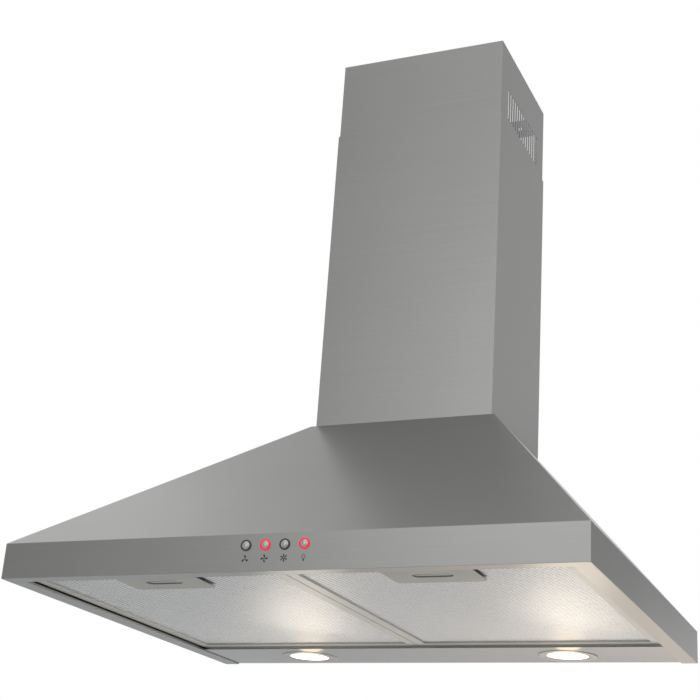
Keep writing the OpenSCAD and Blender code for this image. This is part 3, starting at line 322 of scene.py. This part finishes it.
FINISHES = {
    "brushed_stainless": brushed_stainless("brushed_stainless", 0.31),
    "galvanised_sheet": galvanised_sheet(),
    "zinc_screws": zinc_screw(),
    "filter_aluminium": rolled_aluminium("frame_aluminium", "#B6B5AF", "#C8C7C2"),
    "filter_mesh": expanded_foil("outer_foil", "#E2E3E4", "#F8F8F6"),
    "spring_steel": drawn_steel("spring_wire"),
    "bezel_steel": turned_steel("turned_bezel", "Y", spacing=2 * LAMP_X, first=-LAMP_X, level=LAMP_Y,
                                colours=("#A8A7A2", "#B7B6B2"), roughness=0.24, ring_mm=0.8),
    "lens_glass": lamp_glass(),
    "reflector_aluminium": polished_reflector(),
    "bulb_glass": bulb_glass(),
    "button_steel": turned_steel("turned_button", "Z", spacing=BUTTON_PITCH, first=BUTTON_X, level=BUTTON_Z,
                                 colours=("#A2A3A3", "#C2C3C3"), roughness=0.24, ring_mm=0.45),
    "ring_lit": light_guide("ring_lit", "#7C0614", "#960A1E", "#FF1234", 0.95),
    # The unlit ring's faint red emission is a painted reflection of the lit red rings, not light of its own
    "ring_unlit": light_guide("ring_unlit", "#3E3B3A", "#5A5452", "#401014", 0.1),
    "switch_plastic": moulded("switch_plastic", "#26262A", "#303034", 0.5, 0.3, 0.02),
    "board_laminate": circuit_board(),
    "tact_plastic": moulded("tact_plastic", "#121213", "#1B1B1D", 0.45, 0.3, 0.02),
    "fan_plastic": moulded("fan_plastic", "#C4C2B8", "#D2D0C7", 0.48, 0.8, 0.03),
    "impeller_plastic": moulded("impeller_plastic", "#D2D2CC", "#E0E0DA", 0.42, 0.8, 0.03),
    "shaft_steel": drawn_steel("ground_shaft"),
    "nut_brass": turned_brass(),
    "motor_paint": enamelled_motor(),
    "grommet_rubber": moulded("grommet_rubber", "#161616", "#222222", 0.7, 0.6, 0.03),
    "capacitor_plastic": moulded("capacitor_plastic", "#DADAD6", "#E6E6E2", 0.3, 0.4, 0.01),
    "collar_plastic": moulded("collar_plastic", "#55585B", "#63666A", 0.5, 0.7, 0.03),
    "flap_plastic": moulded("flap_plastic", "#3E4144", "#4A4D50", 0.5, 0.7, 0.03),
    "box_plastic": moulded("box_plastic", "#D3D3CE", "#DEDEDA", 0.45, 0.6, 0.02),
}
INK = printed_ink()
# The inner layers of a grease filter are the same foil, painted dark as the shade that falls inside the
# filter's holes
SHADED_INNER_FOIL = expanded_foil("shaded_inner_foil", "#3E4043", "#5A5C5E")


# Pieces

# From which angle an edge is shaded as sharp, and from which it is rounded
SHARP_ANGLE = math.radians(35)
SOFTEN_ANGLE = math.radians(30)
# How much of a side the rounding of one of its corners may take up
SIDE_SHARE = 0.45


def add_object(name, data):
    """A new object of the scene."""
    made = bpy.data.objects.new(name, data)
    bpy.context.collection.objects.link(made)
    return made


def new_piece(name, points, faces, slot, body="root", material=None):
    """A mesh piece in metres that rides on a body and takes its finish from a slot."""
    mesh = bpy.data.meshes.new(name)
    mesh.from_pydata(points, [], faces)
    build = bmesh.new()
    build.from_mesh(mesh)
    bmesh.ops.recalc_face_normals(build, faces=build.faces)
    build.to_mesh(mesh)
    build.free()
    mesh.materials.append(material or FINISHES[slot])
    mesh.shade_smooth()
    mesh.set_sharp_from_angle(angle=SHARP_ANGLE)
    piece = add_object(name, mesh)
    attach(piece, body)
    return piece


def bevel(piece, name, width, segments, **settings):
    """A modifier that rounds edges of a piece by a width."""
    made = piece.modifiers.new(name, "BEVEL")
    made.width = width
    made.segments = segments
    for setting, value in settings.items():
        setattr(made, setting, value)


def soften(piece, width, segments):
    """Rounds every sharp edge of a piece by a real bend or deburring radius."""
    bevel(piece, "soften", width, segments, limit_method="ANGLE", angle_limit=SOFTEN_ANGLE,
          harden_normals=True)


def applied(piece):
    """The mesh that a piece's modifiers make, after which the piece has none."""
    mesh = bpy.data.meshes.new_from_object(piece.evaluated_get(bpy.context.evaluated_depsgraph_get()))
    piece.modifiers.clear()
    return mesh


def turned(profile, steps):
    """Points and faces of the ring that a closed profile of radius and height makes round Z."""
    count = len(profile)
    angles = [2 * math.pi * i / steps for i in range(steps)]
    points = [(r * math.cos(a), r * math.sin(a), h) for a in angles for r, h in profile]
    faces = [
        (i * count + k, (i + 1) % steps * count + k, (i + 1) % steps * count + (k + 1) % count,
         i * count + (k + 1) % count)
        for i in range(steps) for k in range(count)
    ]
    return points, faces


def rounded(corners, radius, arc):
    """A closed outline with each corner rounded in arc steps by radius, or less where a side is short."""
    made = []
    for i, here in enumerate(corners):
        p, before, after = Vector(here), Vector(corners[i - 1]), Vector(corners[(i + 1) % len(corners)])
        to_before, to_after = before - p, after - p
        reach = min(radius, to_before.length * SIDE_SHARE, to_after.length * SIDE_SHARE)
        a, b = p + to_before.normalized() * reach, p + to_after.normalized() * reach
        for k in range(arc + 1):
            t = k / arc
            made.append(tuple((1 - t) ** 2 * a + 2 * t * (1 - t) * p + t ** 2 * b))
    return made


# Canopy

SHEET_T = 0.8 * MM
FOLD_RADIUS = 1.2 * MM
FOLD_SEGMENTS = 4
WELD_GAP = 0.02 * MM
FLAT_ANGLE = math.radians(1)
SHEETS = ("canopy_front", "canopy_left", "canopy_right")
CANOPY_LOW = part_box("canopy_left")[0]
LIP_WIDTH = 16.5 * MM
OPENING_X = -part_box("lamp_panel")[0][0]
OPENING_Y = CANOPY_LOW[1] + LIP_WIDTH
RIM_TOP = 36 * MM


def near(value, wanted):
    """Whether two lengths are the same, to within half a sheet's thickness."""
    return abs(value - wanted) < SHEET_T / 2


def folded(a, b):
    """Whether an edge of the canopy is an outer fold: a border or corner of the rim, or the hem of a lip."""
    def on_side(p):
        return near(abs(p.x), -CANOPY_LOW[0])

    def on_front(p):
        return near(p.y, CANOPY_LOW[1])

    if near(a.z, 0) and near(b.z, 0):
        side_hem = near(abs(a.x), OPENING_X) and near(abs(b.x), OPENING_X)
        front_hem = near(a.y, OPENING_Y) and near(b.y, OPENING_Y)
        return side_hem or front_hem or on_side(a) and on_side(b) or on_front(a) and on_front(b)
    if near(a.z, RIM_TOP) and near(b.z, RIM_TOP):
        return on_side(a) and on_side(b) or on_front(a) and on_front(b)
    return on_side(a) and on_side(b) and on_front(a) and on_front(b)


def canopy_shell():
    """The three canopy sheets as one shell: welds ground flush, folds with the radius of the press brake."""
    mesh = frame["nodes"][SHEETS[0]].data.copy()
    mesh.name = "canopy_shell"
    shell = add_object("canopy_shell", mesh)
    for name in SHEETS[1:]:
        weld = shell.modifiers.new("weld", "BOOLEAN")
        weld.operation = "UNION"
        weld.solver = "EXACT"
        weld.object = frame["nodes"][name]
    welded = applied(shell)
    build = bmesh.new()
    build.from_mesh(welded)
    bmesh.ops.remove_doubles(build, verts=build.verts, dist=WELD_GAP)
    bmesh.ops.dissolve_limit(build, angle_limit=FLAT_ANGLE, verts=build.verts, edges=build.edges)
    weights = build.edges.layers.float.new("bevel_weight_edge")
    for edge in build.edges:
        edge[weights] = float(folded(edge.verts[0].co, edge.verts[1].co))
    build.to_mesh(welded)
    build.free()
    welded.materials.clear()
    welded.materials.append(FINISHES["brushed_stainless"])
    welded.shade_flat()
    shell.data = welded
    bevel(shell, "folds", FOLD_RADIUS, FOLD_SEGMENTS, limit_method="WEIGHT")
    bent = applied(shell)
    # Where two folds meet, the bend would otherwise bulge out under the rim
    for point in bent.vertices:
        point.co.z = max(point.co.z, CANOPY_LOW[2])
    shell.data = bent
    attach(shell, "root")
    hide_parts(*SHEETS)


canopy_shell()


# Grease filters

# The two widths of one diamond of the foil, the foil's thickness, the share of its diamond that a hole
# fills, and how far a strand's edges lie over and under the knots
MESH_LONG = 5.9 * MM
MESH_SHORT = 4.8 * MM
MESH_FOIL = 0.2 * MM
HOLE_SHARE = 0.73
STRAND_RISE = 0.12 * MM
# The layer that shows, which is the first, has the smallest openings
LAYER_SCALES = (1, 1.25, 1.25)


def diamond_sheet(low, high, z, scale):
    """Diamond openings between strands that lean a little: foil slit, pulled and rolled nearly flat."""
    nx = round((high[0] - low[0]) / (MESH_LONG * scale))
    ny = round((high[1] - low[1]) / (MESH_SHORT * scale))
    half_x, half_y = (high[0] - low[0]) / nx / 2, (high[1] - low[1]) / ny / 2
    points, faces, knots = [], [], {}

    def knot(a, b):
        if (a, b) not in knots:
            knots[a, b] = len(points)
            points.append((low[0] + a * half_x, low[1] + b * half_y, z))
        return knots[a, b]

    # A diamond's middle stands where a and b, counted in half diamonds, are both odd or both even
    for a in range(1, 2 * nx):
        for b in range(1, 2 * ny):
            if (a + b) % 2:
                continue
            x, y = low[0] + a * half_x, low[1] + b * half_y
            ring = [knot(a + 1, b), knot(a, b + 1), knot(a - 1, b), knot(a, b - 1)]
            first = len(points)
            points += [
                (x + dx * half_x * HOLE_SHARE, y + dy * half_y * HOLE_SHARE, z + dy * STRAND_RISE)
                for dx, dy in ((1, 0), (0, 1), (-1, 0), (0, -1))
            ]
            faces += [(ring[k], ring[k - 3], first + (k + 1) % 4, first + k) for k in range(4)]
    return points, faces


def filter_mesh(side):
    """Three layers of expanded foil in place of the plain sheets."""
    low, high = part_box(f"filter_mesh_{side}")
    half_foil = MESH_FOIL / 2
    heights = (low[2] + STRAND_RISE + half_foil, (low[2] + high[2]) / 2, high[2] - STRAND_RISE - half_foil)
    for i, (z, scale) in enumerate(zip(heights, LAYER_SCALES)):
        points, faces = diamond_sheet(low, high, z, scale)
        # The inner layers take the darker copy of the foil, which is painted shade
        piece = new_piece(f"filter_mesh_{side}_layer_{i + 1}", points, faces, "filter_mesh",
                          f"filter_{side}", SHADED_INNER_FOIL if i else None)
        thick = piece.modifiers.new("foil", "SOLIDIFY")
        thick.thickness = MESH_FOIL
        thick.offset = 0
        if i == 0:
            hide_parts(f"filter_mesh_{side}")


for side in SIDES:
    filter_mesh(side)


# Lamps

BEZEL_LIP_R = 23.5 * MM
BEZEL_LIP_RISE = 0.3 * MM
# The groove's inner edge, deepest line and outer edge
BEZEL_GROOVE_R = (25.2 * MM, 26.2 * MM, 27.4 * MM)
BEZEL_GROOVE = 0.35 * MM
# The barrel's bore and outside
BEZEL_BARREL_R = (28.2 * MM, 29.5 * MM)
BEZEL_ROLL = 1.2 * MM
BEZEL_ROUNDING = 0.3 * MM
BEZEL_ARC = 3
BEZEL_STEPS = 96


def lamp_bezel(side):
    """The pressed bezel: a rolled outer edge, a flat, a groove and the lip round the glass."""
    low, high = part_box(f"lamp_bezel_{side}")
    x, y, _ = middle_of(f"lamp_bezel_{side}")
    outer = (high[0] - low[0]) / 2
    face, sunk, back, top = low[2], low[2] + BEZEL_GROOVE, low[2] + SHEET_T, high[2]
    groove, (bore, barrel) = BEZEL_GROOVE_R, BEZEL_BARREL_R
    profile = rounded([
        (BEZEL_LIP_R, face + BEZEL_LIP_RISE), (groove[0], face), (groove[1], sunk), (groove[2], face),
        (outer - BEZEL_ROLL, face), (outer, sunk), (outer, back), (barrel, back), (barrel, top),
        (bore, top), (bore, back), (BEZEL_LIP_R, back)
    ], BEZEL_ROUNDING, BEZEL_ARC)
    points, faces = turned(profile, BEZEL_STEPS)
    piece = new_piece(f"lamp_bezel_{side}_ring", [(px + x, py + y, pz) for px, py, pz in points], faces,
                      "bezel_steel")
    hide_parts(f"lamp_bezel_{side}")


for side in SIDES:
    lamp_bezel(side)


# Pictograms printed under the buttons

PRINT_Z = 12.1 * MM
PRINT_R = 3.5 * MM
PRINT_T = 0.04 * MM
RIM_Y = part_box("canopy_front")[0][1]
FAN_BLADES = (3, 4, 6)
FIRST_BLADE = math.radians(80)
# A blade is this share of the sign's radius wide, or less where many blades share the room
BLADE_WIDEST = 0.6
ALL_BLADES = 2.7
# A blade's spine from the hub outwards: its reach, its lean, and its share of the blade's full width
BLADE_SPINE = ((0.12, 0, 0.3), (0.45, 0.05, 0.6), (0.75, 0.16, 1.0), (1.0, 0.30, 0.75))


def print_on_rim(name, x, outlines):
    """Flat ink shapes, given as outlines in X and Z round a centre, on the rim's front face."""
    points, faces = [], []
    for outline in outlines:
        first, count = len(points), len(outline)
        for y in (RIM_Y - PRINT_T, RIM_Y):
            points += [(x + px, y, PRINT_Z + pz) for px, pz in outline]
        faces.append(tuple(range(first, first + count)))
        faces.append(tuple(range(first + 2 * count - 1, first + count - 1, -1)))
        faces += [
            (first + k, first + count + k, first + count + (k + 1) % count, first + (k + 1) % count)
            for k in range(count)
        ]
    new_piece(name, points, faces, "switch_plastic", material=INK)


def blade(angle, count):
    """One fan blade: a narrow foot at the hub that bends and widens outwards."""
    width = PRINT_R * min(BLADE_WIDEST, ALL_BLADES / count)
    c, s = math.cos(angle), math.sin(angle)
    left, right = [], []
    for reach, lean, share in BLADE_SPINE:
        r, half = PRINT_R * reach, width * share / 2
        for edge, sign in ((left, 1), (right, -1)):
            u, v = r, PRINT_R * lean + sign * half
            edge.append((u * c - v * s, u * s + v * c))
    return left + right[::-1]


def arc_band(centre_z, radius, width, start, end, steps):
    """A band that follows an arc, for a drawn line."""
    angles = [start + (end - start) * k / steps for k in range(steps + 1)]
    out, back = radius + width / 2, radius - width / 2
    return ([(out * math.cos(a), out * math.sin(a) + centre_z) for a in angles]
            + [(back * math.cos(a), back * math.sin(a) + centre_z) for a in reversed(angles)])


def bar(x1, z1, x2, z2, width):
    """A straight band from one place to another, for a drawn line."""
    along = Vector((x2 - x1, z2 - z1)).normalized()
    side_x, side_z = -along.y * width / 2, along.x * width / 2
    return [(x1 + side_x, z1 + side_z), (x2 + side_x, z2 + side_z), (x2 - side_x, z2 - side_z),
            (x1 - side_x, z1 - side_z)]


def bulb_sign():
    """A bulb in outline over a solid base, with short rays."""
    line = PRINT_R * 0.13
    glass_r, glass_z = PRINT_R * 0.42, PRINT_R * 0.22
    neck_x, neck_z = glass_r * 0.53, glass_z - glass_r * 0.85
    foot_x, foot_z = glass_r * 0.4, -PRINT_R * 0.48
    base = ((-0.24, -0.5), (-0.2, -0.95), (0.2, -0.95), (0.24, -0.5))
    shapes = [arc_band(glass_z, glass_r, line, math.radians(-58), math.radians(238), 20)]
    for sign in (-1, 1):
        shapes.append(bar(sign * neck_x, neck_z, sign * foot_x, foot_z, line))
    shapes.append([(PRINT_R * x, PRINT_R * z) for x, z in base])
    for degrees in range(-10, 191, 50):
        a = math.radians(degrees)
        ends = [(math.cos(a) * r, glass_z + math.sin(a) * r) for r in (glass_r * 1.4, glass_r * 1.85)]
        shapes.append(bar(*ends[0], *ends[1], line * 0.7))
    return shapes


for place, count in enumerate(FAN_BLADES):
    print_on_rim(f"pictogram_fan_{count}_blades", BUTTON_X + place * BUTTON_PITCH,
                 [blade(FIRST_BLADE + 2 * math.pi * k / count, count) for k in range(count)])
print_on_rim("pictogram_bulb", BUTTON_X + len(FAN_BLADES) * BUTTON_PITCH, bulb_sign())


# The nodes of the frame take their finishes by slot

for entry in frame["record"]["subparts"]:
    for slot in frame["nodes"][entry["node"]].material_slots:
        slot.material = FINISHES[entry["material_slot"]]

# Pieces whose metal has another surface than its slot's: a finer ground panel, duller handles and latches
SURFACES = {
    "lamp_panel": brushed_stainless("fine_stainless", 0.15),
    "filter_handle_left": rolled_aluminium("handle_aluminium", "#969690", "#A8A8A2"),
    "filter_latch_left": rolled_aluminium("latch_aluminium", "#A9A8A3", "#BAB9B5"),
}
SURFACES["filter_handle_right"] = SURFACES["filter_handle_left"]
SURFACES["filter_latch_right"] = SURFACES["filter_latch_left"]
for name, surface in SURFACES.items():
    frame["nodes"][name].material_slots[0].material = surface


# Folds and edges of the frame's nodes

COVER_EDGE = 0.35 * MM
RING_EDGE = 0.25 * MM


def press_fold(name, group, chosen):
    """Gives a fold of a sheet the radius of the press brake, along the points that chosen picks."""
    sheet = frame["nodes"][name]
    picked = [point.index for point in sheet.data.vertices if chosen(sheet.matrix_world @ point.co)]
    sheet.vertex_groups.new(name=group).add(picked, 1, "REPLACE")
    bevel(sheet, group, FOLD_RADIUS, FOLD_SEGMENTS, limit_method="VGROUP", vertex_group=group)


PANEL_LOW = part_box("lamp_panel")[0]
press_fold("lamp_panel", "front_fold", lambda p: near(p.y, PANEL_LOW[1]) and near(p.z, PANEL_LOW[2]))
for name in ("chimney_lower", "chimney_upper"):
    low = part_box(name)[0]
    for side, sign in SIDES.items():
        press_fold(name, f"{side}_fold", lambda p: near(p.y, low[1]) and near(p.x, -sign * low[0]))
    soften(frame["nodes"][name], COVER_EDGE, segments=2)
for number in range(1, BUTTON_COUNT + 1):
    soften(frame["nodes"][f"light_ring_{number}"], RING_EDGE, segments=3)


# Each latch spring gets its own copy of its mesh

for side in SIDES:
    low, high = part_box(f"latch_spring_{side}")
    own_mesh(frame["nodes"][f"latch_spring_{side}"])


# Studio

HOOD_MIDDLE = (0, 0, 0.2)
FLOOR_HALF = 12
FLOOR_Z = -1.5


def stage_sheet(name, corners, material):
    """A flat sheet with four corners, as part of the studio."""
    mesh = bpy.data.meshes.new(name)
    mesh.from_pydata(corners, [], [(0, 1, 2, 3)])
    mesh.materials.append(material)
    made = add_object(name, mesh)
    return made


def aim(made, towards, axis):
    """Turns an object where it stands, so that its axis points towards a place."""
    made.rotation_mode = "QUATERNION"
    made.rotation_quaternion = (Vector(towards) - made.location).to_track_quat(axis, "Y")


def card(name, place, width, height, levels, along="X", towards=HOOD_MIDDLE, colour="#FFFFFF"):
    """A plain card that the metal mirrors, whose brightness runs between two levels along one side."""
    material = bpy.data.materials.new(name)
    material.use_nodes = True
    tree = material.node_tree
    tree.nodes.clear()
    own = node(tree, "ShaderNodeTexCoord").outputs["Object"]
    reach = node(tree, "ShaderNodeSeparateXYZ", {0: own}).outputs[along]
    half = (width if along == "X" else height) / 2
    level = node(tree, "ShaderNodeMapRange", {"Value": reach}, From_Min=-half, From_Max=half,
                 To_Min=levels[0], To_Max=levels[1])
    glow = node(tree, "ShaderNodeEmission", {"Strength": level.outputs[0]}, Color=linear(colour))
    node(tree, "ShaderNodeOutputMaterial", {"Surface": glow.outputs[0]})
    x, y = width / 2, height / 2
    made = stage_sheet(name, [(-x, -y, 0), (x, -y, 0), (x, y, 0), (-x, y, 0)], material)
    made.location = place
    aim(made, towards, "Z")
    made.visible_camera = False
    made.visible_shadow = False


def floor():
    """A pale painted floor, well under the hanging hood."""
    material, tree, shader, place = start_material("studio_floor", "#F2F2F2", 0.85)
    cloud = grain(tree, place, 900)
    dress(tree, shader, cloud, ("#D0D0D1", "#D6D6D6"), cloud, (0.8, 0.9))
    corners = [(x * FLOOR_HALF, y * FLOOR_HALF, FLOOR_Z) for x, y in ((-1, -1), (1, -1), (1, 1), (-1, 1))]
    stage_sheet("studio_floor", corners, material)


def add_light(name, kind, place, watts, colour="#FFFFFF", **settings):
    """A light of the studio or of the hood's own lamps, which shines down unless it is aimed."""
    data = bpy.data.lights.new(name, kind)
    data.energy = watts
    data.color = linear(colour)[:3]
    for setting, value in settings.items():
        setattr(data, setting, value)
    made = add_object(name, data)
    made.location = place
    return made


def world():
    """Even light from all round, and white for the camera and for what metal and glass mirror."""
    made = bpy.data.worlds.new("studio")
    bpy.context.scene.world = made
    made.use_nodes = True
    tree = made.node_tree
    tree.nodes.clear()
    path = node(tree, "ShaderNodeLightPath")
    rays = (path.outputs["Is Glossy Ray"], path.outputs["Is Transmission Ray"])
    mirrored = node(tree, "ShaderNodeMath", {0: rays[0], 1: rays[1]}, operation="MAXIMUM")
    shown = node(tree, "ShaderNodeMath", {0: path.outputs["Is Camera Ray"], 1: mirrored.outputs[0]},
                 operation="MAXIMUM")
    even = node(tree, "ShaderNodeBackground", Color=linear("#F4F6F8"), Strength=0.8)
    white = node(tree, "ShaderNodeBackground", Color=(1, 1, 1, 1), Strength=1)
    mixed = node(tree, "ShaderNodeMixShader", {0: shown.outputs[0], 1: even.outputs[0], 2: white.outputs[0]})
    node(tree, "ShaderNodeOutputWorld", {0: mixed.outputs[0]})


def camera():
    """The camera at the photograph's place, looking as it does."""
    data = bpy.data.cameras.new("photo_camera")
    data.sensor_width = SENSOR_MM
    data.lens = CAMERA_FOCAL_PX / PHOTO_PX * SENSOR_MM
    made = add_object("photo_camera", data)
    level = Matrix(((1, 0, 0), (0, 0, -1), (0, 1, 0)))
    right, down, ahead = Matrix.Rotation(CAMERA_TURN.length, 3, CAMERA_TURN) @ level
    axes = Matrix((right, -Vector(down), -Vector(ahead))).transposed()
    made.matrix_world = Matrix.Translation(CAMERA_PLACE) @ axes.to_4x4()
    bpy.context.scene.camera = made


floor()
world()
camera()
card("front_sweep", (-1.85, -3.55, 1.8), width=3.3, height=4.0, levels=(1.22, 0.06))
card("rear_flag", (1.75, 3.6, 1.65), width=2.68, height=3.6, levels=(0.72, 0.5), along="Y")
card("top_flag", (-1.08, 2.2, 2.7), width=1.9, height=2.2, levels=(0.74, 0.3))
card("corner_flag", (1.35, 3.3, 0.95), width=0.75, height=0.55, levels=(0.1, 0.1))
card("low_glow", (-1.05, 3.96, -1.1), width=1.6, height=0.44, levels=(0.5, 2.8), towards=(0, 0, 0),
     colour="#FFE9D4")

# Light that falls on the floor alone. The filters and the lips mirror the floor that it lights.
floor_pool = add_light("floor_pool", "AREA", (0.3, 0.6, -0.35), 28, shape="SQUARE", size=2.4)
floor_pool.visible_camera = False
floor_pool.visible_glossy = False

front_softbox = add_light("front_softbox", "AREA", (-0.7, -3.4, 1.3), 3, shape="SQUARE", size=1.4)
aim(front_softbox, HOOD_MIDDLE, "-Z")

for side, sign in SIDES.items():
    # The warm light that a lit lamp throws on the sheets round it
    add_light(f"lamp_light_{side}", "POINT", (sign * LAMP_X, LAMP_Y, -0.022), 0.02, "#FFE2B8",
              shadow_soft_size=0.02)
    # The lamp's light that comes back up from what stands under the hood
    bounce = add_light(f"lamp_bounce_{side}", "AREA", (sign * LAMP_X + 0.025, LAMP_Y - 0.09, -0.11), 0.09,
                       "#FFF1DE", shape="DISK", size=0.1)
    bounce.rotation_euler = (math.pi, 0, 0)
    bounce.visible_camera = False

bpy.context.scene.view_settings.view_transform = "Standard"
